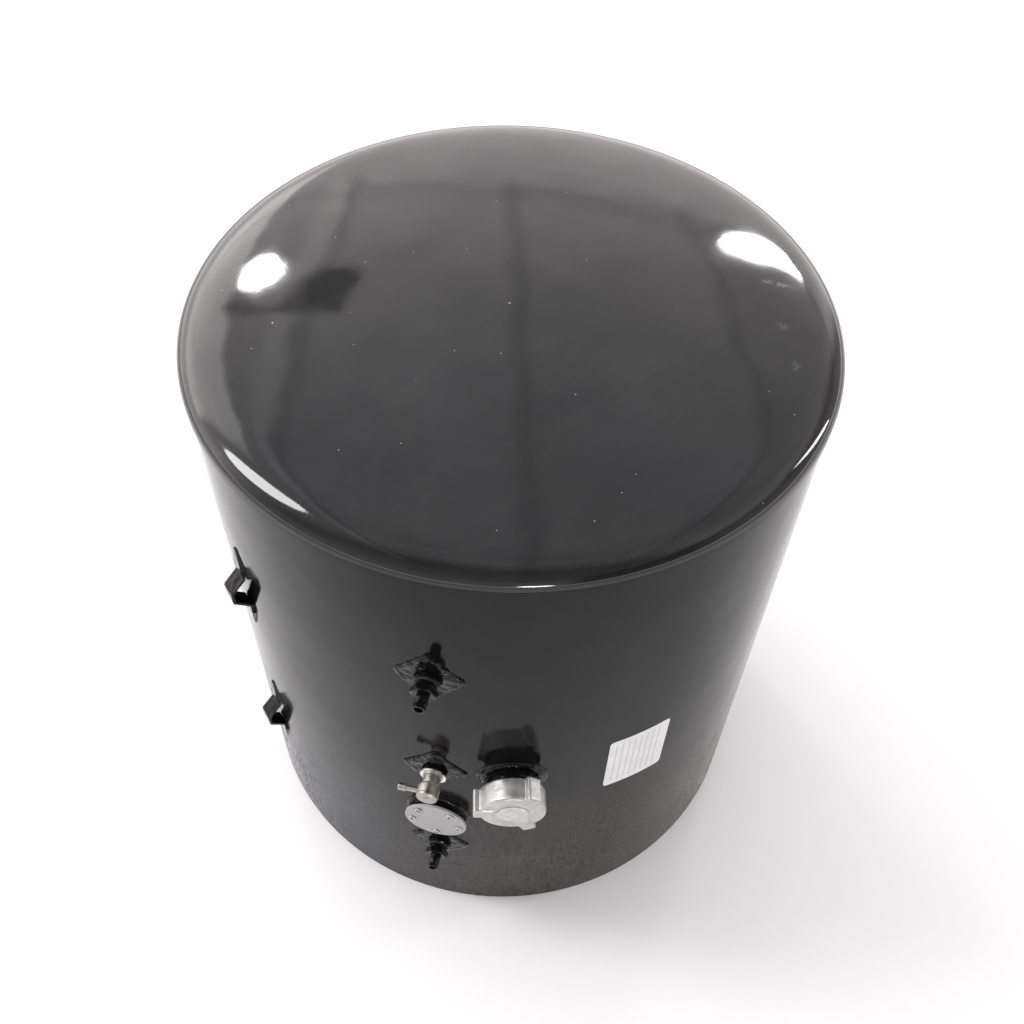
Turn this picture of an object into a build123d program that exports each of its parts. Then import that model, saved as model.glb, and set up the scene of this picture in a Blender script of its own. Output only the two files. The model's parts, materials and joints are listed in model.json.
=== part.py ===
from build123d import *
import math
import os

# Expansion vessel: an upright steel drum with a lapped top head and a bottom head set in over
# a foot ring, a screwed filler cap with a relief valve, two pipe ports, a vent cock, a blanked
# sensor port and two strap brackets.
# Millimetres, +Z up. The origin is the centre of the ring that the vessel stands on, and the
# column of ports faces -Y. Azimuths are in degrees from -Y, positive towards +X.

# ---------------------------------------------------------------- driving dimensions
# drum
shell_radius = 318.0            # outside of the rolled shell
shell_wall = 3.0
shell_length = 690.0            # from the floor up; its lower edge is the foot ring
head_wall = 2.5
end_gap = 1.0                   # shell edge to the start of the head's knuckle
top_skirt = 8.0                 # straight part of the top head, lapped over the shell
foot_skirt = 20.0               # straight part of the bottom head, inside the shell
foot_inset = 2.5                # floor to the bottom head's lower edge
knuckle_radius = 10.0           # outside of each head's edge
shoulder_radius = 180.0         # between the knuckle and the crown
rim_slope = 25.0                # head's slope where the knuckle ends
crown_slope = 6.0               # head's slope where the crown starts
seam_leg = 2.2                  # fillet weld under each head's edge
butt_width = 7.0                # shell's lengthwise butt weld
butt_height = 1.0

# column of three ports; a rise is measured up from the middle of the shell's length
port_azimuth = 0.0
port_rise = 5.0                 # middle port
port_pitch = 187.7
pad_width = 64.0                # diamond pad, corner to corner
pad_height = 78.0
pad_corner_radius = 5.0
pad_thickness = 2.5
pad_weld_leg = 2.2
pad_weld_height = 1.9
boss_radius = 13.0
boss_face = 7.0                 # height above the shell
boss_inside = 5.0               # reach behind the shell's outer face
boss_edge = 0.6
port_bore_radius = 8.3
seal_thickness = 1.5
seal_radius = 11.5
collar_radius = 9.6
collar_length = 4.0
nut_across_flats = 23.0
nut_length = 7.0
nut_chamfer = 1.2               # along the port
nut_chamfer_reach = 2.2         # across the nut's corners
stub_radius = 6.25
stub_shank_radius = 6.0         # inside the nut
stub_bore_radius = 4.25
stub_length = 15.0              # beyond the nut
stub_edge = 0.6                 # rounding on the stub's end

# vent cock in the middle port
washer_radius = 13.8
washer_thickness = 1.8
vent_neck_radius = 9.0
vent_flange_radius = 10.8
vent_flange_length = 2.0
vent_neck_length = 8.0
vent_cone_length = 3.0
vent_head_radius = 11.7
vent_head_length = 9.0
vent_way_radius = 2.5
plug_radius = 5.0
plug_clearance = 0.05
plug_square = 5.6               # drive for the knob
plug_square_length = 4.0
knob_radius = 11.2
knob_length = 3.4
knob_gap = 0.3
knob_chamfer = 1.1
o_ring_radius = 0.75            # section of the plug's seal
o_ring_groove = 1.65            # width and depth
outlet_rise = 5.4               # above the base of the vent's head
outlet_radius = 2.8
outlet_length = 11.5
outlet_tip_radius = 3.9
outlet_tip_length = 8.5
outlet_tip_edge = 0.8
outlet_way_radius = 1.5

# blanked sensor port
cover_drop = 106.5              # below the middle port
cover_boss_radius = 33.0
cover_boss_face = 7.5
cover_bore_radius = 20.0
cover_step = 1.5                # boss's raised joint face is this much smaller in radius
cover_step_height = 1.8
cover_gasket_thickness = 1.8
cover_gasket_inset = 0.3
cover_plate_radius = 35.0
cover_plate_thickness = 2.6
cover_plate_edge = 0.5
cover_weld_leg = 2.5
screw_circle_radius = 27.0
screw_angles = (-11.0, 51.0, 134.0, 188.0, 270.0)   # uneven: the plate fits one way round
screw_radius = 2.5
screw_clearance = 0.25
screw_depth = 6.0               # in the boss
screw_hole_spare = 0.5          # blind hole beyond the screw's end
screw_head_radius = 4.5
screw_head_height = 2.0
screw_head_edge = 0.9
screw_slot_length = 5.0
screw_slot_width = 1.2
screw_slot_depth = 0.9

# filler neck and cap
filler_azimuth = 14.5
filler_rise = 5.0
neck_bore_radius = 25.0
neck_wall = 3.4
neck_mouth = 34.0               # height above the shell
neck_inside = 8.0
thread_height = 1.6
thread_pitch = 4.0
thread_turns = 4
thread_start = 3.2              # first ridge below the mouth
thread_root = 2.4               # width of a ridge where it stands on the neck
thread_crest = 1.0
neck_weld_leg = 8.0             # bead round the neck, level with the shell's face
neck_weld_toe = 6.0             # where the bead's rounded top starts
neck_weld_height = 5.0
neck_weld_belly = (4.4, 3.4)    # point that the rounded top passes through
seat_depth = 21.0               # relief valve's seat below the mouth
seat_bore_radius = 18.5
seat_thickness = 3.0
cap_clearance = 0.3
cap_wall = 3.8
cap_top = 4.4
cap_depth = 24.0
cap_edge = 1.5
lug_count = 3
lug_turn = 57.0                 # first lug, from the horizontal
lug_reach = 40.5
lug_width = 15.0
lug_step = 1.8                  # lugs stand proud of the cap's face
lug_inner_radius = 19.0
lug_edge = 1.0
lug_end_edge = 1.5
gasket_thickness = 2.0
gasket_width = 4.6
gasket_inset = 0.5
disc_radius = 16.5
disc_recess = 0.8
disc_proud = 0.6
disc_edge = 0.5
pocket_radius = 8.0
pocket_depth = 1.2
running_gap = 0.1

# relief valve under the cap
guide_radius = 4.0
guide_clearance = 0.08
guide_flange_radius = 14.0
guide_flange_thickness = 1.5
guide_tip_radius = 2.5
guide_foot_radius = 6.5
guide_foot_thickness = 1.5
relief_travel = 4.0
relief_plate_radius = 23.6
relief_plate_thickness = 1.5
relief_hub_wall = 2.2
relief_hub_height = 2.0
relief_seal_thickness = 1.8
relief_seal_lap = 4.0           # seal's width on the seat
relief_seal_overhang = 0.5      # inside the seat's bore
spring_radius = 9.0             # to the middle of the wire
spring_wire_radius = 0.8
spring_turns = 5.0
clip_radius = 5.6
clip_thickness = 0.7

# strap brackets
bracket_azimuth = -44.3
bracket_rises = {"upper": 133.3, "lower": -125.8}
strap_width = 18.0
strap_thickness = 3.0
strap_length = 128.0            # along the drum
strap_reach = 16.0              # shell to the inside of the loop
strap_crest = 10.5              # flat part of the loop
strap_bend = 3.0                # inside radius
strap_leg_slope = 45.0
strap_point_length = 27.0       # drawn-down part of each foot
strap_point_width = 4.0
strap_point_thickness = 1.4
strap_weld_leg = 1.3            # fillet round each point

# label
label_azimuth = 39.3
label_rise = -5.0
label_width = 71.0
label_tall = 101.0
label_corner_radius = 5.0
label_thickness = 0.3

# ---------------------------------------------------------------- levels that follow
skirt_radius = shell_radius + head_wall
shell_inside = shell_radius - shell_wall
shell_middle = shell_length / 2
top_lip = shell_length + end_gap - top_skirt

washer_top = boss_face + washer_thickness
adapter_seat = boss_face + seal_thickness
nut_base = adapter_seat + collar_length
nut_top = nut_base + nut_length

gasket_face = cover_boss_face + cover_gasket_thickness
cover_face = gasket_face + cover_plate_thickness

neck_radius = neck_bore_radius + neck_wall
thread_radius = neck_radius + thread_height
cap_bore_radius = thread_radius + cap_clearance
cap_radius = cap_bore_radius + cap_wall
cap_ceiling = neck_mouth + gasket_thickness
cap_face = cap_ceiling + cap_top
seat_face = neck_mouth - seat_depth

OUT_OF_WAY = 60.0               # cutters reach this far past what they cut
BEHIND = 15.0                   # blanks start this far behind the shell's face


# ---------------------------------------------------------------- shared shapes
def station(azimuth, height):
    """Frame on the shell: local Z points out, X runs round the drum and Y is up."""
    turn = math.radians(azimuth)
    outward = Vector(math.sin(turn), -math.cos(turn), 0)
    along = Vector(math.cos(turn), math.sin(turn), 0)
    origin = outward * shell_radius + Vector(0, 0, height)
    return Plane(origin=origin, x_dir=along, z_dir=outward)


def shell_core(radius=shell_radius):
    """The drum's cylinder as seen from a station's own frame, for cutting saddles."""
    core = Cylinder(radius, 2 * shell_length, rotation=(90, 0, 0))
    return Pos(0, 0, -shell_radius) * core


def disc(radius, bottom, top):
    """Plain cylinder about local Z."""
    return Pos(0, 0, bottom) * Cylinder(
        radius, top - bottom, align=(Align.CENTER, Align.CENTER, Align.MIN))


def ring(outer, inner, bottom, top):
    return disc(outer, bottom, top) - disc(inner, bottom - 1, top + 1)


def turned(points):
    """Solid of revolution about local Z from (radius, height) corners."""
    return revolve(Plane.XZ * make_face(Polyline(points, close=True)), Axis.Z)


def tangent_path(start, heading, steps):
    """Lines and arcs that follow each other without a corner.

    A step is (None, length) or (radius, turn in degrees, positive to the left)."""
    point, direction, edges = Vector(*start), Vector(*heading), []
    for radius, amount in steps:
        if radius is None:
            edge = Line(point, point + direction * amount)
        else:
            edge = JernArc(point, direction, radius, amount)
        point, direction = edge @ 1, edge % 1
        edges.append(edge)
    return edges, point


def sheet_section(start, heading, steps, wall, side):
    """Section of bent sheet: the path's own face, and a second face at the wall's distance
    to the left (side 1) or right (side -1)."""
    near, near_end = tangent_path(start, heading, steps)
    across = Vector(-heading[1], heading[0]) * side * wall
    far_steps = [(r if r is None else r - math.copysign(wall, amount * side), amount)
                 for r, amount in steps]
    far_start = Vector(*start) + across
    far, far_end = tangent_path(far_start, heading, far_steps)
    ends = [Line(near_end, far_end), Line(far_start, Vector(*start))]
    return make_face(near + far + ends)


# ---------------------------------------------------------------- drum
def head(outside, lip, skirt):
    """Domed head from the lower edge of its skirt up; the crown's radius brings the sheet to
    the axis with no slope."""
    start, heading = (outside, lip), (0, 1)
    steps = [(None, skirt),
             (knuckle_radius, 90 - rim_slope),
             (shoulder_radius, rim_slope - crown_slope)]
    _, end = tangent_path(start, heading, steps)
    crown_radius = end.X / math.sin(math.radians(crown_slope))
    steps.append((crown_radius, crown_slope))
    return revolve(Plane.XZ * sheet_section(start, heading, steps, head_wall, 1), Axis.Z)


def lap_weld(shell_face, skirt_face, lip):
    """Fillet under a skirt's edge, against the shell's face that the skirt laps."""
    return turned([(shell_face, lip), (skirt_face, lip), (shell_face, lip - seam_leg)])


def butt_weld():
    """Low bead down the back of the shell, from its lower edge to the top head's weld."""
    low, high = 0.0, top_lip - seam_leg
    bead_radius = (butt_width ** 2 / 4 + butt_height ** 2) / (2 * butt_height)
    bead = Pos(0, shell_radius + butt_height - bead_radius, 0) * disc(bead_radius, low, high)
    slab = Pos(0, shell_radius, (low + high) / 2) * Box(butt_width, butt_width, high - low)
    return (bead & slab) - disc(shell_radius, low - 1, high + 1)


def shell():
    drum = ring(shell_radius, shell_inside, 0, shell_length)
    holes = [station(port_azimuth, z) * disc(boss_radius, -OUT_OF_WAY, OUT_OF_WAY)
             for z in port_levels.values()]
    holes.append(cover_station * disc(cover_bore_radius, -OUT_OF_WAY, OUT_OF_WAY))
    holes.append(filler_station * disc(neck_radius, -OUT_OF_WAY, OUT_OF_WAY))
    return drum - holes


# ---------------------------------------------------------------- ports
def diamond(grow=0.0):
    half_w, half_h = pad_width / 2, pad_height / 2
    outline = make_face(Polyline(
        [(half_w, 0), (0, half_h), (-half_w, 0), (0, -half_h)], close=True))
    rounded = fillet(outline.vertices(), pad_corner_radius)
    return offset(rounded, grow) if grow else rounded


def pad():
    """Diamond plate rolled to the shell."""
    block = Pos(0, 0, -BEHIND) * extrude(diamond(), 2 * BEHIND)
    plate = block & shell_core(shell_radius + pad_thickness)
    return plate - shell_core() - disc(boss_radius, -OUT_OF_WAY, OUT_OF_WAY)


def pad_weld():
    """Bead round the diamond that follows the shell."""
    drop = shell_radius - math.sqrt(shell_radius ** 2 - (pad_width / 2 + pad_weld_leg) ** 2)
    spread = pad_weld_leg + drop
    bead = Pos(0, 0, -drop) * extrude(diamond(spread), spread, taper=45)
    bead &= shell_core(shell_radius + pad_weld_height)
    body = Pos(0, 0, -OUT_OF_WAY) * extrude(diamond(), 2 * OUT_OF_WAY)
    return bead - body - shell_core()


def boss():
    body = ring(boss_radius, port_bore_radius, -boss_inside, boss_face)
    return chamfer(body.edges().group_by(Axis.Z)[-1].sort_by(SortBy.RADIUS)[-1], boss_edge)


def seal():
    return ring(seal_radius, port_bore_radius, boss_face, adapter_seat)


def adapter():
    """Screwed body that the nut and the pipe stub sit in."""
    body = disc(port_bore_radius, -boss_inside, adapter_seat)
    body += disc(collar_radius, adapter_seat, nut_base)
    return body - disc(stub_bore_radius, -boss_inside - 1, nut_base + 1)


def nut():
    hexagon = RegularPolygon(nut_across_flats / 2, 6, major_radius=False)
    block = Pos(0, 0, nut_base) * extrude(hexagon, nut_length)
    corner = nut_across_flats / math.sqrt(3)
    inner = corner - nut_chamfer_reach
    blank = turned([(0, nut_base), (inner, nut_base), (corner, nut_base + nut_chamfer),
                    (corner, nut_top - nut_chamfer), (inner, nut_top), (0, nut_top)])
    return (block & blank) - disc(stub_shank_radius, nut_base - 1, nut_top + 1)


def stub():
    tube = disc(stub_shank_radius, nut_base, nut_top)
    tube += disc(stub_radius, nut_top, nut_top + stub_length)
    tube -= disc(stub_bore_radius, nut_base - 1, nut_top + stub_length + 1)
    return fillet(tube.edges().group_by(Axis.Z)[-1], stub_edge)


# ---------------------------------------------------------------- vent cock
vent_neck_base = washer_top + vent_flange_length
vent_cone_base = vent_neck_base + vent_neck_length
vent_head_base = vent_cone_base + vent_cone_length
vent_head_top = vent_head_base + vent_head_length
outlet_level = vent_head_base + outlet_rise
plug_base = vent_neck_base + vent_neck_length / 2
o_ring_level = vent_head_top - o_ring_groove
knob_base = vent_head_top + knob_gap
knob_top = knob_base + knob_length


def vent_washer():
    return ring(washer_radius, port_bore_radius, boss_face, washer_top)


def vent_body():
    body = turned([(0, -boss_inside), (port_bore_radius, -boss_inside),
                   (port_bore_radius, washer_top), (vent_flange_radius, washer_top),
                   (vent_flange_radius, vent_neck_base), (vent_neck_radius, vent_neck_base),
                   (vent_neck_radius, vent_cone_base), (vent_head_radius, vent_head_base),
                   (vent_head_radius, vent_head_top), (0, vent_head_top)])
    sideways = Plane(origin=(0, 0, outlet_level), z_dir=(-1, 0, 0))
    tip_start = vent_head_radius + outlet_length
    tip = disc(outlet_tip_radius, tip_start, tip_start + outlet_tip_length)
    tip = fillet(tip.edges().filter_by(GeomType.CIRCLE), outlet_tip_edge)
    body += sideways * (disc(outlet_radius, plug_radius + 1, tip_start) + tip)
    body -= sideways * disc(outlet_way_radius, 0, tip_start + outlet_tip_length + 1)
    body -= disc(vent_way_radius, -boss_inside - 1, plug_base + 1)
    return body - disc(plug_radius + plug_clearance, plug_base, vent_head_top + 1)


def vent_plug():
    """Turning plug: its side hole meets the outlet after a quarter turn."""
    bottom, top = plug_base + running_gap, knob_base
    body = disc(plug_radius, bottom, top)
    square = Box(plug_square, plug_square, plug_square_length,
                 align=(Align.CENTER, Align.CENTER, Align.MIN))
    body += Pos(0, 0, top) * square
    body -= disc(vent_way_radius, bottom - 1, outlet_level)
    side = Plane(origin=(0, 0, outlet_level), z_dir=(0, 1, 0))
    body -= side * disc(outlet_way_radius, 0, plug_radius + 1)
    return body - ring(plug_radius + 1, plug_radius - o_ring_groove,
                       o_ring_level - o_ring_groove / 2, o_ring_level + o_ring_groove / 2)


def vent_o_ring():
    middle = plug_radius - o_ring_radius - running_gap / 2
    return Pos(0, 0, o_ring_level) * Torus(middle, o_ring_radius)


def vent_knob():
    body = disc(knob_radius, knob_base, knob_top)
    body = chamfer(body.edges().group_by(Axis.Z)[-1], knob_chamfer)
    pocket = Box(plug_square, plug_square, plug_square_length,
                 align=(Align.CENTER, Align.CENTER, Align.MIN))
    return body - Pos(0, 0, knob_base) * pocket


# ---------------------------------------------------------------- blanked sensor port
def cover_boss():
    """Saddle boss with a raised joint face and blind screw holes."""
    body = disc(cover_boss_radius, -BEHIND, cover_boss_face - cover_step_height)
    body += disc(cover_boss_radius - cover_step, 0, cover_boss_face)
    body -= shell_core()
    body -= disc(cover_bore_radius, -OUT_OF_WAY, OUT_OF_WAY)
    hole = disc(screw_radius, cover_boss_face - screw_depth - screw_hole_spare, OUT_OF_WAY)
    return body - [place * hole for place in screw_places]


def cover_weld():
    drop = shell_radius - math.sqrt(shell_radius ** 2 - (cover_boss_radius + cover_weld_leg) ** 2)
    spread = cover_weld_leg + drop
    bead = turned([(cover_boss_radius, -drop), (cover_boss_radius + spread, -drop),
                   (cover_boss_radius, cover_weld_leg)])
    return bead - shell_core()


def cover_gasket():
    body = ring(cover_boss_radius - cover_gasket_inset, cover_bore_radius, cover_boss_face, gasket_face)
    hole = disc(screw_radius + screw_clearance, 0, OUT_OF_WAY)
    return body - [place * hole for place in screw_places]


def cover_plate():
    body = disc(cover_plate_radius, gasket_face, cover_face)
    body = fillet(body.edges().group_by(Axis.Z)[-1], cover_plate_edge)
    hole = disc(screw_radius + screw_clearance, 0, OUT_OF_WAY)
    return body - [place * hole for place in screw_places]


def cover_screw():
    shank = disc(screw_radius, cover_boss_face - screw_depth, cover_face)
    head = disc(screw_head_radius, cover_face, cover_face + screw_head_height)
    head = fillet(head.edges().group_by(Axis.Z)[-1], screw_head_edge)
    slot = Box(screw_slot_length, screw_slot_width, screw_slot_depth,
               align=(Align.CENTER, Align.CENTER, Align.MAX))
    cross = slot + Rot(0, 0, 90) * slot
    return shank + head - Pos(0, 0, cover_face + screw_head_height) * cross


# ---------------------------------------------------------------- filler neck and cap
def filler_neck():
    """Tube with a screw-cap thread and an inner ledge for the relief valve."""
    body = ring(neck_radius, neck_bore_radius, -neck_inside, neck_mouth)
    body += ring(neck_bore_radius, seat_bore_radius, seat_face - seat_thickness, seat_face)
    ridge = turned([(neck_radius, -thread_root / 2), (thread_radius, -thread_crest / 2),
                    (thread_radius, thread_crest / 2), (neck_radius, thread_root / 2)])
    for turn in range(thread_turns):
        body += Pos(0, 0, neck_mouth - thread_start - turn * thread_pitch) * ridge
    return body


def filler_neck_weld():
    drop = shell_radius - math.sqrt(shell_radius ** 2 - (neck_radius + neck_weld_leg) ** 2)
    spread = neck_weld_leg + drop
    slope = Line((neck_radius + spread, -drop), (neck_radius + neck_weld_toe, 0))
    belly_out, belly_up = neck_weld_belly
    crown = ThreePointArc(slope @ 1, (neck_radius + belly_out, belly_up),
                          (neck_radius, neck_weld_height))
    inner = Line(crown @ 1, (neck_radius, -drop))
    base = Line(inner @ 1, slope @ 0)
    bead = revolve(Plane.XZ * make_face([slope, crown, inner, base]), Axis.Z)
    return bead - shell_core()


def filler_cap():
    """Cast cap: three ribs cross its face and run down the skirt as grip lugs."""
    back = cap_face - cap_depth
    body = disc(cap_radius, back, cap_face)
    body = chamfer(body.edges().group_by(Axis.Z)[-1], cap_edge)
    lug_length = lug_reach - lug_inner_radius
    lug = Pos(lug_inner_radius + lug_length / 2, 0, back) * Box(
        lug_length, lug_width, cap_depth + lug_step,
        align=(Align.CENTER, Align.CENTER, Align.MIN))
    lug = chamfer(lug.edges().group_by(Axis.Z)[-1], lug_edge)
    lug = fillet(lug.edges().filter_by(Axis.Z).group_by(Axis.X)[-1], lug_end_edge)
    for place in PolarLocations(0, lug_count, start_angle=lug_turn):
        body += place * lug
    body -= disc(cap_bore_radius, back - 1, cap_ceiling)
    body -= disc(disc_radius + running_gap, cap_face - disc_recess, OUT_OF_WAY)
    body -= disc(pocket_radius, cap_face - disc_recess - pocket_depth, OUT_OF_WAY)
    return body - disc(guide_tip_radius + guide_clearance, 0, OUT_OF_WAY)


def cap_disc():
    body = disc(disc_radius, cap_face - disc_recess, cap_face + disc_proud)
    return fillet(body.edges().group_by(Axis.Z)[-1], disc_edge)


def cap_gasket():
    outer = thread_radius - gasket_inset
    return ring(outer, outer - gasket_width, neck_mouth, cap_ceiling - running_gap)


# ---------------------------------------------------------------- relief valve
relief_seal_base = seat_face + running_gap
relief_plate_base = relief_seal_base + relief_seal_thickness
relief_plate_top = relief_plate_base + relief_plate_thickness
guide_flange_top = cap_ceiling - running_gap
guide_flange_base = guide_flange_top - guide_flange_thickness
clip_base = cap_face - disc_recess - pocket_depth + running_gap
clip_top = clip_base + clip_thickness


def valve_guide():
    """Stem that hangs in the cap on a clip and carries the relief plate."""
    foot_top = relief_seal_base - seat_thickness
    body = disc(guide_foot_radius, foot_top - guide_foot_thickness, foot_top)
    body += disc(guide_radius, foot_top, guide_flange_base)
    body += disc(guide_flange_radius, guide_flange_base, guide_flange_top)
    return body + disc(guide_tip_radius, guide_flange_top, clip_top)


def guide_clip():
    return ring(clip_radius, guide_tip_radius, clip_base, clip_top)


def relief_plate():
    body = ring(relief_plate_radius, guide_radius + guide_clearance,
                relief_plate_base, relief_plate_top)
    hub = ring(guide_radius + relief_hub_wall, guide_radius + guide_clearance,
               relief_plate_top, relief_plate_top + relief_hub_height)
    return body + hub


def relief_seal():
    inner = seat_bore_radius - relief_seal_overhang
    return ring(inner + relief_seal_lap, inner, relief_seal_base, relief_plate_base)


def relief_spring():
    low = relief_plate_top + spring_wire_radius + running_gap
    high = guide_flange_base - spring_wire_radius - running_gap
    path = Helix((high - low) / spring_turns, high - low, spring_radius)
    wire = Plane(origin=path @ 0, z_dir=path % 0) * Circle(spring_wire_radius)
    return Pos(0, 0, low) * sweep(wire, path=path, is_frenet=True)


# ---------------------------------------------------------------- brackets and label
def strap_outline(grow=0.0):
    """The bar seen from outside, drawn to a point at both ends."""
    half_w, half_l, tip = strap_width / 2, strap_length / 2, strap_point_width / 2
    side = [(half_w, half_l - strap_point_length), (tip, half_l),
            (-tip, half_l), (-half_w, half_l - strap_point_length)]
    outline = make_face(Polyline(side + [(-x, -y) for x, y in side], close=True))
    return offset(outline, grow) if grow else outline


def bracket():
    """Flat bar bent into a low loop, with a pointed foot above and below it on the shell."""
    slope = math.radians(strap_leg_slope)
    drop = 1 - math.cos(slope)
    leg = (strap_reach - (2 * strap_bend + strap_thickness) * drop) / math.sin(slope)
    run = (2 * strap_bend + strap_thickness) * math.sin(slope) + leg * math.cos(slope)
    foot = strap_length / 2 - strap_crest / 2 - run
    outer_bend = strap_bend + strap_thickness
    steps = [(None, foot), (outer_bend, strap_leg_slope), (None, leg),
             (strap_bend, -strap_leg_slope), (None, strap_crest),
             (strap_bend, -strap_leg_slope), (None, leg), (outer_bend, strap_leg_slope),
             (None, foot)]
    section = sheet_section((-strap_length / 2, 0), (1, 0), steps, strap_thickness, 1)
    side_view = Plane(origin=(-strap_width / 2, 0, 0), x_dir=(0, 1, 0), z_dir=(1, 0, 0))
    bar = side_view * extrude(section, strap_width)
    bar &= Pos(0, 0, -BEHIND) * extrude(strap_outline(), OUT_OF_WAY)
    for direction in (1, -1):
        start, end = strap_length / 2 - strap_point_length, strap_length / 2
        wedge = [(start, strap_thickness), (end, strap_point_thickness),
                 (end + 1, strap_point_thickness), (end + 1, strap_thickness + 1),
                 (start, strap_thickness + 1)]
        wedge = make_face(Polyline([(direction * y, z) for y, z in wedge], close=True))
        bar -= side_view * extrude(wedge, strap_width)
    return bar - shell_core()


def bracket_weld(direction):
    """Fillet round one foot's point."""
    drop = shell_radius - math.sqrt(shell_radius ** 2 - (strap_width / 2) ** 2)
    spread = strap_weld_leg + drop
    bead = Pos(0, 0, -drop) * extrude(strap_outline(spread), spread, taper=45)
    end = Pos(0, direction * strap_length / 2, 0) * Box(
        2 * strap_width, 2 * strap_point_length, OUT_OF_WAY)
    body = Pos(0, 0, -BEHIND) * extrude(strap_outline(), OUT_OF_WAY)
    return (bead & end) - body - shell_core()


def label():
    """Sticker that follows the shell."""
    outline = RectangleRounded(label_width, label_tall, label_corner_radius)
    block = Pos(0, 0, -BEHIND) * extrude(outline, 2 * BEHIND)
    return (block & shell_core(shell_radius + label_thickness)) - shell_core()


# ---------------------------------------------------------------- assembly
port_level = shell_middle + port_rise
port_levels = {"upper": port_level + port_pitch, "middle": port_level,
               "lower": port_level - port_pitch}
cover_station = station(port_azimuth, port_level - cover_drop)
filler_station = station(filler_azimuth, shell_middle + filler_rise)
screw_places = [Rot(0, 0, angle) * Pos(screw_circle_radius, 0, 0) for angle in screw_angles]

nodes = {
    "shell": shell(),
    "shell_butt_weld": butt_weld(),
    "top_head": head(skirt_radius, top_lip, top_skirt),
    "bottom_head": head(shell_inside, foot_inset, foot_skirt),
    "top_lap_weld": lap_weld(shell_radius, skirt_radius, top_lip),
    "bottom_lap_weld": lap_weld(shell_inside, shell_inside - head_wall, foot_inset),
    "label": station(label_azimuth, shell_middle + label_rise) * label(),
}

for name, level in port_levels.items():
    place = station(port_azimuth, level)
    nodes[f"{name}_pad"] = place * pad()
    nodes[f"{name}_pad_weld"] = place * pad_weld()
    nodes[f"{name}_boss"] = place * boss()
for name in ("upper", "lower"):
    place = station(port_azimuth, port_levels[name])
    nodes[f"{name}_seal"] = place * seal()
    nodes[f"{name}_adapter"] = place * adapter()
    nodes[f"{name}_nut"] = place * nut()
    nodes[f"{name}_stub"] = place * stub()

vent_station = station(port_azimuth, port_level)
for name, make in {"vent_washer": vent_washer, "vent_body": vent_body, "vent_plug": vent_plug,
                   "vent_o_ring": vent_o_ring, "vent_knob": vent_knob}.items():
    nodes[name] = vent_station * make()

for name, make in {"cover_boss": cover_boss, "cover_weld": cover_weld,
                   "cover_gasket": cover_gasket, "cover_plate": cover_plate}.items():
    nodes[name] = cover_station * make()
nodes["cover_screws"] = Compound(
    children=[cover_station * (place * cover_screw()) for place in screw_places])

for name, make in {"filler_neck": filler_neck, "filler_neck_weld": filler_neck_weld,
                   "filler_cap": filler_cap, "cap_disc": cap_disc, "cap_gasket": cap_gasket,
                   "valve_guide": valve_guide, "guide_clip": guide_clip,
                   "relief_plate": relief_plate, "relief_seal": relief_seal,
                   "relief_spring": relief_spring}.items():
    nodes[name] = filler_station * make()

for name, rise in bracket_rises.items():
    place = station(bracket_azimuth, shell_middle + rise)
    nodes[f"{name}_bracket"] = place * bracket()
    nodes[f"{name}_bracket_welds"] = Compound(
        children=[place * bracket_weld(direction) for direction in (1, -1)])

os.makedirs("parts", exist_ok=True)
for name, shape in nodes.items():
    export_step(shape, f"parts/{name}.step")
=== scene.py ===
import bmesh
import bpy
import json
import math
from mathutils import Matrix, Vector


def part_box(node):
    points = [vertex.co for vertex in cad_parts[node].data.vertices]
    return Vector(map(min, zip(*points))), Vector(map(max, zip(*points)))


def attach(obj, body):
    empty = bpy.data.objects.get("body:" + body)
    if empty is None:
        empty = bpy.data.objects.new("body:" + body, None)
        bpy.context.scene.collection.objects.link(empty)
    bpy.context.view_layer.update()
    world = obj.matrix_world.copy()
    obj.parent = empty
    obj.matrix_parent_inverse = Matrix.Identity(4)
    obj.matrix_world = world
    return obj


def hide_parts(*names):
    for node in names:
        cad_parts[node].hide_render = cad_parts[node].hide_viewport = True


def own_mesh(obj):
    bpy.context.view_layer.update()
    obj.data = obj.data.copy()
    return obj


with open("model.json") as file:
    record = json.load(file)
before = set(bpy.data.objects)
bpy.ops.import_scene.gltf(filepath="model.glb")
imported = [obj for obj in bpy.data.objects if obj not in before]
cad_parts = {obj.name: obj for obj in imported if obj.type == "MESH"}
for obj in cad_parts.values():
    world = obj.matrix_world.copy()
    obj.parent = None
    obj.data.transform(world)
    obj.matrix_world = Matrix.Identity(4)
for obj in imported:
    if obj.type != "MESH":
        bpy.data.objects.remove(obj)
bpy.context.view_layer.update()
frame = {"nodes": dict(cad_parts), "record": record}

# Expansion vessel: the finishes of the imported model, the pieces that stand for its dome,
# castings, beads and spring, and the camera, the room and the lights around it. Metres, +Z up,
# origin at the centre of the ring that the vessel stands on, ports facing -Y.

nodes = frame["nodes"]


# ---------------------------------------------------------------- camera
camera_place = Vector((0.1738, -0.8127, 1.4409))
camera_heading = 11.65          # degrees, turned left from +Y
camera_down = 51.64             # degrees below the horizon
camera_roll = 2.02              # degrees
camera_lens = 39.83             # mm on a 36 mm sensor


def make_camera():
    data = bpy.data.cameras.new("camera")
    data.sensor_width = 36.0
    data.lens = camera_lens
    camera = bpy.data.objects.new("camera", data)
    bpy.context.scene.collection.objects.link(camera)
    turn = Matrix.Rotation(math.radians(camera_heading), 4, "Z")
    tilt = Matrix.Rotation(math.radians(90 - camera_down), 4, "X")
    roll = Matrix.Rotation(math.radians(camera_roll), 4, "Z")
    camera.matrix_world = Matrix.Translation(camera_place) @ turn @ tilt @ roll
    bpy.context.scene.camera = camera


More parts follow.
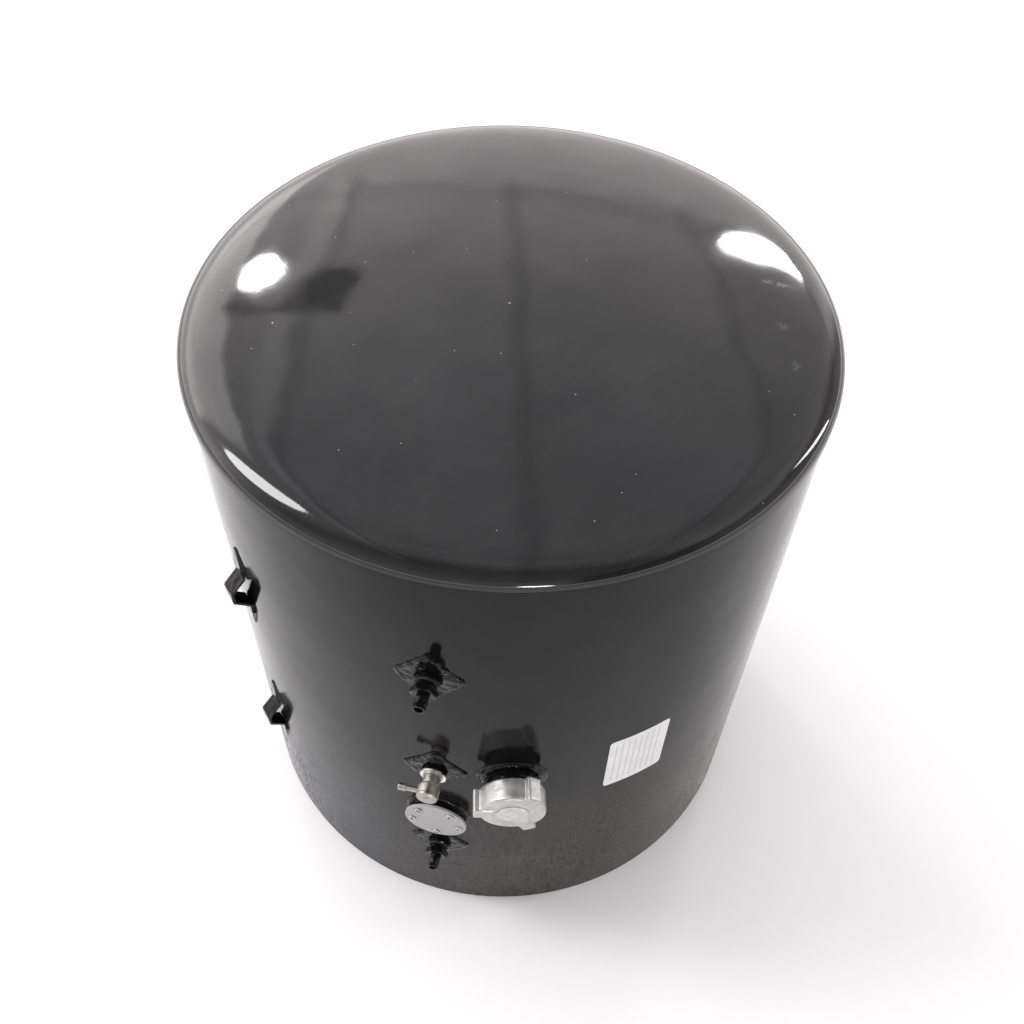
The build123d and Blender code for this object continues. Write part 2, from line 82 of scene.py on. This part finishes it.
# ---------------------------------------------------------------- node graphs
class Graph:
    """A node tree, with short calls for the nodes that the finishes share."""

    def __init__(self, tree):
        self.tree = tree

    def node(self, kind, **settings):
        made = self.tree.nodes.new(kind)
        for key, value in settings.items():
            setattr(made, key, value)
        return made

    def feed(self, socket, value):
        if isinstance(value, bpy.types.NodeSocket):
            self.tree.links.new(value, socket)
        else:
            socket.default_value = value

    def math(self, operation, a, b=0.0, c=0.0):
        made = self.node("ShaderNodeMath", operation=operation)
        for socket, value in zip(made.inputs, (a, b, c)):
            self.feed(socket, value)
        return made.outputs[0]

    def place(self, length=(1, 1, 1), turn=0.0):
        """Object coordinates in metres, turned about Z, with each axis divided by its length."""
        coordinates = self.node("ShaderNodeTexCoord")
        mapping = self.node("ShaderNodeMapping", vector_type="TEXTURE")
        mapping.inputs["Scale"].default_value = length
        mapping.inputs["Rotation"].default_value = (0, 0, math.radians(turn))
        self.tree.links.new(coordinates.outputs["Object"], mapping.inputs["Vector"])
        return mapping.outputs["Vector"]

    def noise(self, vector, scale, detail=2.0, roughness=0.5, distortion=0.0):
        """Noise of about 0.3 to 0.7, with scale features to the metre."""
        made = self.node("ShaderNodeTexNoise")
        self.feed(made.inputs["Vector"], vector)
        made.inputs["Scale"].default_value = scale
        made.inputs["Detail"].default_value = detail
        made.inputs["Roughness"].default_value = roughness
        made.inputs["Distortion"].default_value = distortion
        return made.outputs["Fac"]

    def cells(self, vector, scale, output="Distance"):
        """The distance to the nearest of scattered points, or that point's random colour."""
        made = self.node("ShaderNodeTexVoronoi")
        self.feed(made.inputs["Vector"], vector)
        made.inputs["Scale"].default_value = scale
        return made.outputs[output]

    def span(self, value, low, high, to_low=0.0, to_high=1.0):
        """Maps low..high smoothly to to_low..to_high, held at both ends."""
        made = self.node("ShaderNodeMapRange", clamp=True, interpolation_type="SMOOTHSTEP")
        for socket, number in zip(made.inputs, (value, low, high, to_low, to_high)):
            self.feed(socket, number)
        return made.outputs["Result"]

    def mix(self, factor, a, b):
        """Mixes two colours, given as (r, g, b) or as sockets."""
        made = self.node("ShaderNodeMix", data_type="RGBA")
        self.feed(made.inputs["Factor"], factor)
        for socket, value in ((made.inputs["A"], a), (made.inputs["B"], b)):
            if not isinstance(value, bpy.types.NodeSocket):
                value = (*value, 1.0)
            self.feed(socket, value)
        return made.outputs["Result"]

    def band(self, value, centre, half, soft):
        """1 within half of centre, falling to 0 over soft on both sides."""
        away = self.math("ABSOLUTE", self.math("SUBTRACT", value, centre))
        return self.span(away, half, half + soft, 1.0, 0.0)

    def product(self, *factors):
        result = factors[0]
        for factor in factors[1:]:
            result = self.math("MULTIPLY", result, factor)
        return result

    def split(self, vector):
        made = self.node("ShaderNodeSeparateXYZ")
        self.feed(made.inputs[0], vector)
        return made.outputs

    def bump(self, height, distance, under=None):
        """A normal whose relief is height times distance, in metres, on top of under."""
        made = self.node("ShaderNodeBump")
        made.inputs["Distance"].default_value = distance
        made.inputs["Strength"].default_value = 1.0
        self.feed(made.inputs["Height"], height)
        if under is not None:
            self.feed(made.inputs["Normal"], under)
        return made.outputs["Normal"]


socket_names = {"metallic": "Metallic", "roughness": "Roughness",
                "specular": "Specular IOR Level"}


def new_finish(name, **surface):
    """A material and its graph; surface holds the shader's uniform values."""
    material = bpy.data.materials.new(name)
    material.use_nodes = True
    shader = material.node_tree.nodes["Principled BSDF"]
    for socket, value in surface.items():
        shader.inputs[socket_names[socket]].default_value = value
    return material, Graph(material.node_tree), shader


# ---------------------------------------------------------------- finishes
enamel_dark = (0.0028, 0.0028, 0.0033)
enamel_light = (0.0052, 0.0051, 0.0056)
dust_colour = (0.120, 0.112, 0.104)
mark_colour = (0.30, 0.30, 0.30)
scratch_bearing = 54.0          # degrees from +X, the way the top was wiped
scuffs = (                      # centre x and y, and half the size along x and y
    (0.243, 0.090, 0.026, 0.006),
    (0.255, 0.030, 0.010, 0.007),
    (0.272, -0.020, 0.007, 0.012),
)
wave_depth = 0.0015             # of the sheet
peel_depth = 0.00006            # of the paint
foot_low, foot_high = -0.05, 0.40   # heights between which the dust thins out


def enamel_base(g, place):
    tone = g.noise(place, 9.0, 4.0, 0.55)
    return g.mix(g.span(tone, 0.35, 0.65), enamel_dark, enamel_light)


def enamel_skin(g, shader, place, peel, wave):
    """Slow waves of the sheet under the fine orange peel of the paint."""
    slow = g.bump(g.noise(place, 7.0, 2.0, 0.5), wave_depth * wave)
    fine = g.bump(g.noise(place, 260.0, 2.0, 0.5), peel_depth * peel, under=slow)
    g.feed(shader.inputs["Normal"], fine)


def shell_enamel():
    """Glossy black paint under fine dust, thicker and blotched towards the foot; the dust's hue
    carries a painted tint of the room's light, bluish on the left and brownish on the right.
    """
    material, g, shader = new_finish("shell_enamel", specular=0.11)
    place = g.place()
    height = g.split(place)[2]
    foot = g.span(height, foot_low, foot_high, 1.0, 0.0)
    film = g.span(g.noise(place, 14.0, 5.0, 0.62), 0.30, 0.70, 0.55, 1.0)
    runs = g.span(g.noise(g.place((1, 1, 9.0)), 170.0, 3.0, 0.6), 0.30, 0.64, 0.60, 1.0)
    grains = g.span(g.noise(place, 480.0, 2.0, 0.8), 0.42, 0.60, 0.05, 1.0)
    spots = g.noise(g.place((1, 1, 1.8)), 120.0, 4.0, 0.7)
    blots = g.span(g.math("MULTIPLY_ADD", foot, 0.03, spots), 0.58, 0.63, 1.0, 0.0)
    dust = g.product(film, runs, grains, blots, g.math("MULTIPLY_ADD", foot, 0.95, 0.03))
    # the dust is real, but its hue from bluish on the left to brownish on the right is a painted
    # tint of the room's light
    painted_light_tint = g.span(g.split(place)[0], -0.20, 0.25)
    colour = g.mix(painted_light_tint, (0.104, 0.106, 0.128), (0.150, 0.124, 0.088))
    g.feed(shader.inputs["Base Color"], g.mix(dust, enamel_base(g, place), colour))
    smear = g.noise(g.place((1, 1, 3.0)), 30.0, 5.0, 0.6)
    gloss = g.span(smear, 0.3, 0.7, 0.05, 0.12)
    g.feed(shader.inputs["Roughness"], g.math("MULTIPLY_ADD", dust, 0.7, gloss))
    enamel_skin(g, shader, place, peel=1.0, wave=1.0)
    return material


def head_enamel():
    """Glossy black paint with wiping scratches, dust specks and a few scuffs."""
    material, g, shader = new_finish("head_enamel", specular=0.46)
    place = g.place()
    x, y, _ = g.split(place)

    # two sets of hair-fine wiping scratches, in patches
    marks = None
    for turn, fineness, patch_scale in ((0.0, 1100.0, 5.0), (7.0, 800.0, 8.0)):
        lines = g.noise(g.place((0.20, 1 / fineness, 0.20), scratch_bearing + turn), 1.0, 1.0)
        hair = g.band(lines, 0.5, 0.006, 0.012)
        patch = g.span(g.noise(place, patch_scale, 3.0, 0.6), 0.46, 0.62)
        hair = g.product(hair, patch, 0.03)
        marks = hair if marks is None else g.math("MAXIMUM", marks, hair)

    for centre_x, centre_y, half_x, half_y in scuffs:
        across = g.math("DIVIDE", g.math("SUBTRACT", x, centre_x), half_x)
        along = g.math("DIVIDE", g.math("SUBTRACT", y, centre_y), half_y)
        away = g.math("SQRT", g.math("MULTIPLY_ADD", across, across, g.product(along, along)))
        curls = g.noise(g.place((1, 2.5, 1), 20), 95.0, 2.0, 0.5, 1.0)
        squiggle = g.band(curls, 0.5, 0.015, 0.05)
        scuff = g.product(g.span(away, 0.3, 1.0, 1.0, 0.0), squiggle, 0.10)
        marks = g.math("MAXIMUM", marks, scuff)

    # specks of dust, few and large, then many and small
    for scale, size, share in ((38.0, 0.040, 0.06), (120.0, 0.075, 0.04)):
        near = g.span(g.cells(place, scale), size * 0.7, size, 1.0, 0.0)
        chosen = g.split(g.cells(place, scale, "Color"))[0]
        speck = g.product(near, g.math("LESS_THAN", chosen, share))
        marks = g.math("MAXIMUM", marks, speck)

    haze = g.span(g.noise(place, 16.0, 5.0, 0.62), 0.35, 0.75)
    colour = g.mix(g.product(haze, 0.03), enamel_base(g, place), dust_colour)
    g.feed(shader.inputs["Base Color"], g.mix(marks, colour, mark_colour))
    gloss = g.span(g.noise(place, 14.0, 5.0, 0.6, 0.4), 0.3, 0.7, 0.035, 0.085)
    g.feed(shader.inputs["Roughness"], g.math("MULTIPLY_ADD", marks, 0.4, gloss))
    enamel_skin(g, shader, place, peel=0.2, wave=0.8)
    return material


def fitting_enamel():
    """The same paint, brushed on thickly over rough castings and weld beads."""
    material, g, shader = new_finish("fitting_enamel", specular=0.20)
    place = g.place()
    g.feed(shader.inputs["Base Color"], enamel_base(g, place))
    smear = g.noise(place, 90.0, 4.0, 0.6)
    g.feed(shader.inputs["Roughness"], g.span(smear, 0.3, 0.7, 0.06, 0.12))
    drips = g.bump(g.noise(place, 130.0, 2.0, 0.4), 0.0012)
    fine = g.bump(g.noise(place, 420.0, 2.0, 0.5), 0.00012, under=drips)
    g.feed(shader.inputs["Normal"], fine)
    return material


finishes = {"shell": shell_enamel(), "head": head_enamel(), "fitting": fitting_enamel()}


def cast_alloy():
    material, g, shader = new_finish("cast_alloy", metallic=0.65)
    place = g.place()
    grain = g.noise(place, 1500.0, 3.0, 0.65)
    cloud = g.noise(place, 70.0, 4.0, 0.6)
    tone = g.math("MULTIPLY_ADD", grain, 0.35, g.math("MULTIPLY", cloud, 0.65))
    g.feed(shader.inputs["Base Color"],
           g.mix(g.span(tone, 0.35, 0.65), (0.38, 0.365, 0.365), (0.53, 0.515, 0.51)))
    g.feed(shader.inputs["Roughness"], g.span(cloud, 0.3, 0.7, 0.28, 0.42))
    skin = g.bump(g.noise(place, 90.0, 2.0, 0.5), 0.0005)
    g.feed(shader.inputs["Normal"], g.bump(grain, 0.00012, under=skin))
    return material


def plated(name, dark, light, rough, grain_scale, metallic=1.0):
    """Metal with a fine cloudy tone between two colours and a small surface grain."""
    material, g, shader = new_finish(name, metallic=metallic)
    place = g.place()
    cloud = g.noise(place, 160.0, 4.0, 0.6)
    g.feed(shader.inputs["Base Color"], g.mix(g.span(cloud, 0.3, 0.7), dark, light))
    g.feed(shader.inputs["Roughness"], g.span(cloud, 0.3, 0.7, rough * 0.75, rough * 1.3))
    g.feed(shader.inputs["Normal"], g.bump(g.noise(place, grain_scale, 2.0), 0.00004))
    return material


def rubber():
    material, g, shader = new_finish("seal_rubber")
    place = g.place()
    cloud = g.noise(place, 400.0, 3.0, 0.6)
    g.feed(shader.inputs["Base Color"],
           g.mix(cloud, (0.012, 0.012, 0.012), (0.030, 0.030, 0.030)))
    g.feed(shader.inputs["Roughness"], g.span(cloud, 0.3, 0.7, 0.55, 0.75))
    g.feed(shader.inputs["Normal"], g.bump(cloud, 0.00005))
    return material


def label_film():
    """White film with plain ruled lines that run up the drum."""
    material, g, shader = new_finish("label_film")
    low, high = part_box("label")
    corner, far = Vector((low.x, low.y)), Vector((high.x, high.y))
    across = (far - corner).normalized()
    x, y, z = g.split(g.place())
    along = g.math("MULTIPLY", g.math("SUBTRACT", x, corner.x), across.x)
    along = g.math("MULTIPLY_ADD", g.math("SUBTRACT", y, corner.y), across.y, along)
    up = g.math("SUBTRACT", z, low.z)
    width, tall = (far - corner).length, high.z - low.z

    margin, pitch, stroke = 0.008, 0.0072, 0.0011     # of the ruled lines
    phase = g.math("MODULO", g.math("SUBTRACT", along, margin), pitch)
    line = g.span(phase, stroke, stroke * 1.3, 1.0, 0.0)
    inside = g.math("MULTIPLY", g.span(along, margin, margin * 1.02),
                    g.span(along, width - margin * 1.02, width - margin, 1.0, 0.0))
    reach = g.math("MULTIPLY", g.span(up, margin, margin * 1.05),
                   g.span(up, tall - margin * 1.05, tall - margin, 1.0, 0.0))
    ruled = g.math("MULTIPLY", line, g.math("MULTIPLY", inside, reach))
    cloud = g.noise(g.place(), 60.0, 4.0, 0.6)
    paper = g.mix(g.span(cloud, 0.3, 0.7), (0.60, 0.60, 0.61), (0.67, 0.67, 0.67))
    g.feed(shader.inputs["Base Color"],
           g.mix(g.math("MULTIPLY", ruled, 0.5), paper, (0.20, 0.20, 0.21)))
    g.feed(shader.inputs["Roughness"], g.span(cloud, 0.3, 0.7, 0.40, 0.55))
    g.feed(shader.inputs["Normal"], g.bump(cloud, 0.0002))
    return material


metals = {                      # name, dark, light, roughness, grain scale and metallic
    "disc": ("cap_disc_metal", (0.46, 0.45, 0.45), (0.62, 0.61, 0.60), 0.35, 900.0, 0.7),
    "nickel": ("nickel_plate", (0.33, 0.315, 0.295), (0.44, 0.42, 0.39), 0.38, 500.0),
    "washer": ("bright_washer", (0.78, 0.78, 0.77), (0.92, 0.92, 0.91), 0.30, 900.0),
    "cover": ("cover_metal", (0.33, 0.315, 0.32), (0.40, 0.385, 0.39), 0.60, 1100.0, 0.35),
    "screws": ("zinc_screws", (0.34, 0.33, 0.32), (0.55, 0.54, 0.52), 0.30, 900.0),
    "brass": ("valve_brass", (0.55, 0.40, 0.17), (0.74, 0.57, 0.28), 0.28, 700.0),
    "steel": ("valve_steel", (0.45, 0.46, 0.47), (0.64, 0.65, 0.66), 0.30, 700.0),
    "spring": ("spring_steel", (0.36, 0.37, 0.38), (0.52, 0.53, 0.54), 0.25, 1200.0),
}
finishes["cast"] = cast_alloy()
for kind, look in metals.items():
    finishes[kind] = plated(*look)
finishes["rubber"] = rubber()
finishes["label"] = label_film()

slot_finish = {
    "black_enamel": "fitting", "seal_rubber": "rubber", "bright_washer": "washer",
    "nickel_plate": "nickel", "cover_metal": "cover", "zinc_screws": "screws",
    "cast_alloy": "cast", "cap_disc_metal": "disc", "valve_brass": "brass",
    "valve_steel": "steel", "spring_steel": "spring", "label_film": "label",
}
node_finish = {"shell": "shell", "top_head": "head", "bottom_head": "shell",
               "top_lap_weld": "fitting", "bottom_lap_weld": "shell", "shell_butt_weld": "shell"}


def finish_nodes():
    """Gives each node the finish of its name, or else of its material slot."""
    for part in frame["record"]["subparts"]:
        name = part["node"]
        finish = finishes[node_finish.get(name, slot_finish[part["material_slot"]])]
        mesh = nodes[name].data
        mesh.materials.clear()
        mesh.materials.append(finish)


# ---------------------------------------------------------------- pieces that stand for nodes
def merged_copy(name, names):
    """A new object with the nodes' meshes together, their split edges joined again."""
    mesh = bmesh.new()
    for node in names:
        mesh.from_mesh(nodes[node].data)
    bmesh.ops.remove_doubles(mesh, verts=mesh.verts, dist=1e-6)
    piece = bpy.data.objects.new(name, bpy.data.meshes.new(name))
    mesh.to_mesh(piece.data)
    mesh.free()
    bpy.context.scene.collection.objects.link(piece)
    return piece


def stand_for(piece, names, body):
    """Finishes a piece, which rides on body and is shown instead of the nodes."""
    slot = next(part["material_slot"] for part in frame["record"]["subparts"]
                if part["node"] == names[0])
    if not piece.data.materials:
        piece.data.materials.append(finishes[slot_finish[slot]])
    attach(piece, body)
    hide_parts(*names)


def rounded_piece(name, names, body, grain, smoothing, lump_size=0.0, lump_height=0.0):
    """Stands for nodes with their edges softened, and lumps where they are cast or welded."""
    piece = merged_copy(name, names)
    remesh = piece.modifiers.new("remesh", "REMESH")
    remesh.mode, remesh.voxel_size = "VOXEL", grain
    smooth = piece.modifiers.new("smooth", "SMOOTH")
    smooth.factor, smooth.iterations = 0.5, smoothing
    if lump_height:
        lumps = bpy.data.textures.new(name + "_lumps", "CLOUDS")
        lumps.noise_scale, lumps.noise_depth = lump_size, 1
        displace = piece.modifiers.new("lumps", "DISPLACE")
        displace.texture, displace.texture_coords = lumps, "LOCAL"
        displace.strength, displace.mid_level = lump_height, 0.5
    shown = piece.evaluated_get(bpy.context.evaluated_depsgraph_get())
    mesh = bpy.data.meshes.new_from_object(shown)
    piece.modifiers.clear()
    piece.data = mesh
    mesh.shade_smooth()
    stand_for(piece, names, body)


crown_radius, crown_reach = 2.4654, 0.238       # the even middle of the dome
shoulder_length, shoulder_growth = 0.0923, 4.72  # its edge, and how late the curve tightens
head_wall = 0.0025
skirt_height = 0.009                            # of the skirt in the shell's paint


def head_outline():
    """(radius, z) points of the head: an even crown whose curve tightens smoothly to the rim,
    the skirt down to its lip, and back up inside to the axis."""
    low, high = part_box("top_head")
    slope = math.asin(crown_reach / crown_radius)
    points, slopes = [], []
    crown_steps, shoulder_steps = 24, 96
    for step in range(crown_steps + 1):
        angle = slope * step / crown_steps
        points.append((crown_radius * math.sin(angle),
                       high.z - crown_radius * (1 - math.cos(angle))))
        slopes.append(angle)
    even = shoulder_length / crown_radius
    rest = math.pi / 2 - slope - even
    radius, z = points[-1]
    for step in range(shoulder_steps):
        middle = (step + 0.5) / shoulder_steps
        angle = slope + even * middle + rest * middle ** (shoulder_growth + 1)
        radius += math.cos(angle) * shoulder_length / shoulder_steps
        z -= math.sin(angle) * shoulder_length / shoulder_steps
        points.append((radius, z))
        slopes.append(angle)
    scale = high.x / radius
    outside = [(r * scale, z) for r, z in points] + [(high.x, low.z)]
    inside = [(max(r * scale - head_wall * math.sin(angle), 0.0), z - head_wall * math.cos(angle))
              for (r, z), angle in zip(points, slopes)]
    return outside + [(high.x - head_wall, low.z)] + inside[::-1]


def lathe(name, outline, turns=288):
    """A closed piece from (radius, z) points that start and end on the axis."""
    mesh = bmesh.new()
    rings = []
    for radius, z in outline:
        if radius < 1e-6:
            rings.append([mesh.verts.new((0, 0, z))] * turns)
        else:
            angles = [2 * math.pi * step / turns for step in range(turns)]
            rings.append([mesh.verts.new((radius * math.cos(a), radius * math.sin(a), z))
                          for a in angles])
    for upper, lower in zip(rings, rings[1:]):
        for step in range(turns):
            after = (step + 1) % turns
            corners = (upper[step], lower[step], lower[after], upper[after])
            mesh.faces.new(list(dict.fromkeys(corners)))
    piece = bpy.data.objects.new(name, bpy.data.meshes.new(name))
    mesh.to_mesh(piece.data)
    mesh.free()
    bpy.context.scene.collection.objects.link(piece)
    piece.data.shade_smooth()
    piece.data.set_sharp_from_angle(angle=math.radians(50))
    return piece


def make_head():
    """The dome, in the paint of the top, with the lower edge of its skirt in the shell's."""
    head = lathe("domed_head", head_outline())
    for finish in ("head", "shell"):
        head.data.materials.append(finishes[finish])
    skirt_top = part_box("top_head")[0].z + skirt_height
    for face in head.data.polygons:
        face.material_index = 1 if face.center.z < skirt_top else 0
    stand_for(head, ["top_head"], "root")


def make_spring():
    """The relief spring, a smooth copy of its node with a mesh of its own, riding on the cap's
    carrier.
    """
    spring = merged_copy("spring_coils", ["relief_spring"])
    spring.data.shade_smooth()
    stand_for(spring, ["relief_spring"], "cap_carrier")
    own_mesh(spring)


coarse_grain, fine_grain = 0.0006, 0.0004       # voxels of the rounded pieces
bead_size = 0.009                               # from one lump of a bead to the next
flange_lumps, bead_lumps = 0.0022, 0.0014       # how far they rise and fall


def make_pieces():
    make_head()
    make_spring()
    rounded_piece("cap_casting", ["filler_cap"], "filler_cap", coarse_grain, 26)
    for port in ("upper", "middle", "lower"):
        rounded_piece(port + "_flange", [port + "_pad", port + "_pad_weld"], "root",
                      coarse_grain, 10, bead_size, flange_lumps)
    for name, weld in (("neck_bead", "filler_neck_weld"), ("cover_bead", "cover_weld")):
        rounded_piece(name, [weld], "root", fine_grain, 3, bead_size, bead_lumps)


# ---------------------------------------------------------------- room and light
# height of the direction (0.5 is level) and the room's brightness there
room_levels = ((0.0, 0.8), (0.5, 3.0), (0.66, 2.7), (0.715, 2.3), (0.745, 2.0), (0.80, 1.8),
               (0.87, 1.45), (0.94, 1.2), (1.0, 1.05))
ceiling_joints = (-0.405, 0.05, 0.53)
room_seen = (0.90, 0.90, 0.90, 1.0)     # the room looked at directly


def make_world():
    """A plain pale room with a boarded ceiling, mirrored faintly in the paint."""
    world = bpy.data.worlds.new("room")
    world.use_nodes = True
    bpy.context.scene.world = world
    g = Graph(world.node_tree)
    background = world.node_tree.nodes["Background"]
    direction = g.node("ShaderNodeTexCoord").outputs["Generated"]
    x, y, z = g.split(direction)

    brightest = max(value for _, value in room_levels)
    rise = g.node("ShaderNodeValToRGB")
    g.feed(rise.inputs["Fac"], g.math("MULTIPLY_ADD", z, 0.5, 0.5))
    ramp = rise.color_ramp
    for position, value in room_levels:
        if 0.0 < position < 1.0:
            stop = ramp.elements.new(position)
        else:
            stop = ramp.elements[0 if position == 0.0 else -1]
        stop.color = (value / brightest,) * 3 + (1.0,)
    strength = g.math("MULTIPLY", rise.outputs["Color"], brightest)

    # on the ceiling, one unit above: u to the right and v away from the front, with the
    # boards running askew
    lift = g.math("MAXIMUM", z, 0.15)
    u, v = g.math("DIVIDE", x, lift), g.math("DIVIDE", y, lift)
    board = g.math("MULTIPLY_ADD", v, 0.25, u)
    ceiling = g.product(g.span(z, 0.35, 0.45), g.span(v, 1.85, 1.95, 1.0, 0.0))

    def shade(mask, factor):
        """Multiplies the brightness by factor where mask is 1."""
        return g.math("MULTIPLY", strength, g.math("MULTIPLY_ADD", mask, factor - 1, 1.0))

    # boards to the right are darker, one strip on the left is lighter, and joints are dark
    strength = shade(g.product(ceiling, g.span(board, 0.03, 0.07)), 0.90)
    strength = shade(g.product(ceiling, g.span(board, 0.51, 0.55)), 0.88)
    strength = shade(g.product(ceiling, g.band(board, -0.455, 0.015, 0.03)), 1.28)
    for joint in ceiling_joints:
        strength = shade(g.product(ceiling, g.band(board, joint, 0.010, 0.025)), 0.80)
    strength = shade(g.band(v, 1.78, 0.03, 0.08), 0.86)

    # the bright wall on the left, whose edge leans further out past v = 0.6
    beyond = g.math("MAXIMUM", g.math("SUBTRACT", v, 0.6), 0.0)
    wall = g.math("MULTIPLY_ADD", beyond, 0.35, u)
    strength = shade(g.product(g.span(wall, -0.74, -0.69, 1.0, 0.0), g.span(v, 0.25, 0.45),
                               g.span(z, 0.2, 0.4)), 2.3)

    # a dark lamp on its rod, in front of that wall
    lamp = g.product(g.band(u, -0.67, 0.065, 0.02), g.band(v, 1.095, 0.070, 0.03))
    rod = g.product(g.band(u, -0.80, 0.09, 0.02), g.band(v, 1.02, 0.012, 0.02))
    strength = shade(g.math("MAXIMUM", lamp, g.product(rod, 0.6)), 0.30)

    # the room is darker towards the front and low on the right
    above = g.span(z, -0.05, 0.05)
    strength = shade(g.product(above, g.span(y, -0.45, -0.05, 1.0, 0.0)), 0.36)
    right = g.product(g.span(x, 0.42, 0.58), g.span(z, 0.40, 0.62, 1.0, 0.0))
    strength = shade(g.product(above, right), 0.28)
    cloud = g.noise(direction, 5.0, 3.0)
    strength = g.math("MULTIPLY", strength, g.span(cloud, 0.3, 0.7, 0.92, 1.08))
    tint = g.span(z, 0.55, 0.85)
    g.feed(background.inputs["Color"], g.mix(tint, (1.0, 0.955, 0.955), (0.975, 0.965, 1.0)))
    g.feed(background.inputs["Strength"], strength)

    # looked at directly, past the edge of the floor, the room is plain
    plain = g.node("ShaderNodeBackground")
    plain.inputs["Color"].default_value = room_seen
    choice = g.node("ShaderNodeMixShader")
    g.feed(choice.inputs["Fac"], g.node("ShaderNodeLightPath").outputs["Is Camera Ray"])
    g.tree.links.new(background.outputs[0], choice.inputs[1])
    g.tree.links.new(plain.outputs[0], choice.inputs[2])
    g.tree.links.new(choice.outputs[0], g.tree.nodes["World Output"].inputs["Surface"])


floor_tone = (0.82, 0.82, 0.82)
floor_reach, floor_gap = 8.0, 0.0004


def make_floor():
    """A wide pale floor, a hair below the ring that the vessel stands on."""
    mesh = bpy.data.meshes.new("floor")
    corners = [(x * floor_reach, y * floor_reach, 0.0)
               for x, y in ((-1, -1), (1, -1), (1, 1), (-1, 1))]
    mesh.from_pydata(corners, [], [(0, 1, 2, 3)])
    floor = bpy.data.objects.new("floor", mesh)
    bpy.context.scene.collection.objects.link(floor)
    floor.location.z = -floor_gap
    material, g, shader = new_finish("floor", roughness=0.9, specular=0.1)
    tone = g.noise(g.place(), 3.0, 3.0)
    lighter = tuple(1.04 * value for value in floor_tone)
    g.feed(shader.inputs["Base Color"], g.mix(tone, floor_tone, lighter))
    mesh.materials.append(material)


def area_light(name, place, aim, along, size, radiance):
    """An oval light at place, facing aim, with the first of its two sizes along a direction."""
    data = bpy.data.lights.new(name, "AREA")
    data.shape = "ELLIPSE"
    data.size, data.size_y = size
    data.energy = radiance * math.pi * size[0] * size[1]
    light = bpy.data.objects.new(name, data)
    bpy.context.scene.collection.objects.link(light)
    back = (Vector(place) - Vector(aim)).normalized()
    across = (Vector(along) - back * Vector(along).dot(back)).normalized()
    turn = Matrix((across, back.cross(across), back)).transposed().to_4x4()
    light.matrix_world = Matrix.Translation(place) @ turn


dome_middle = Vector((0.0, 0.0, 0.72))
window_distance = 3.0


def from_dome(bearing, elevation):
    """A window's place, at a bearing from +Y (positive towards +X) and an elevation."""
    turn, up = math.radians(bearing), math.radians(elevation)
    away = Vector((math.sin(turn) * math.cos(up), math.cos(turn) * math.cos(up), math.sin(up)))
    return dome_middle + away * window_distance


def make_lights():
    """Five soft lights; each is aimed at the part of the dome that mirrors it."""
    left, right = (-0.24, -0.03, 0.72), (0.24, 0.12, 0.72)
    left_rim, right_rim, front = (-0.3, -0.1, 0.71), (0.3, -0.1, 0.71), (0.0, -0.3, 0.71)
    area_light("lamp_left", (-1.69, 2.01, 2.39), left, (0.14, 0.0, 0.09), (0.17, 0.27), 60.0)
    area_light("lamp_right", (0.74, 2.71, 2.15), right, (0.52, -0.03, -0.15), (0.60, 0.20), 34.0)
    area_light("side_window", from_dome(-99, 43), left_rim, (0, 1, 0), (0.80, 1.40), 13.0)
    area_light("far_window", (2.80, 1.25, 1.62), right_rim, (-0.07, -0.65, 1.05),
               (1.30, 0.26), 15.0)
    area_light("behind_window", from_dome(160, 2), front, (1, 0, 0), (0.50, 0.24), 40.0)


make_camera()
finish_nodes()
make_pieces()
make_world()
make_floor()
make_lights()
bpy.context.scene.view_settings.view_transform = "Standard"
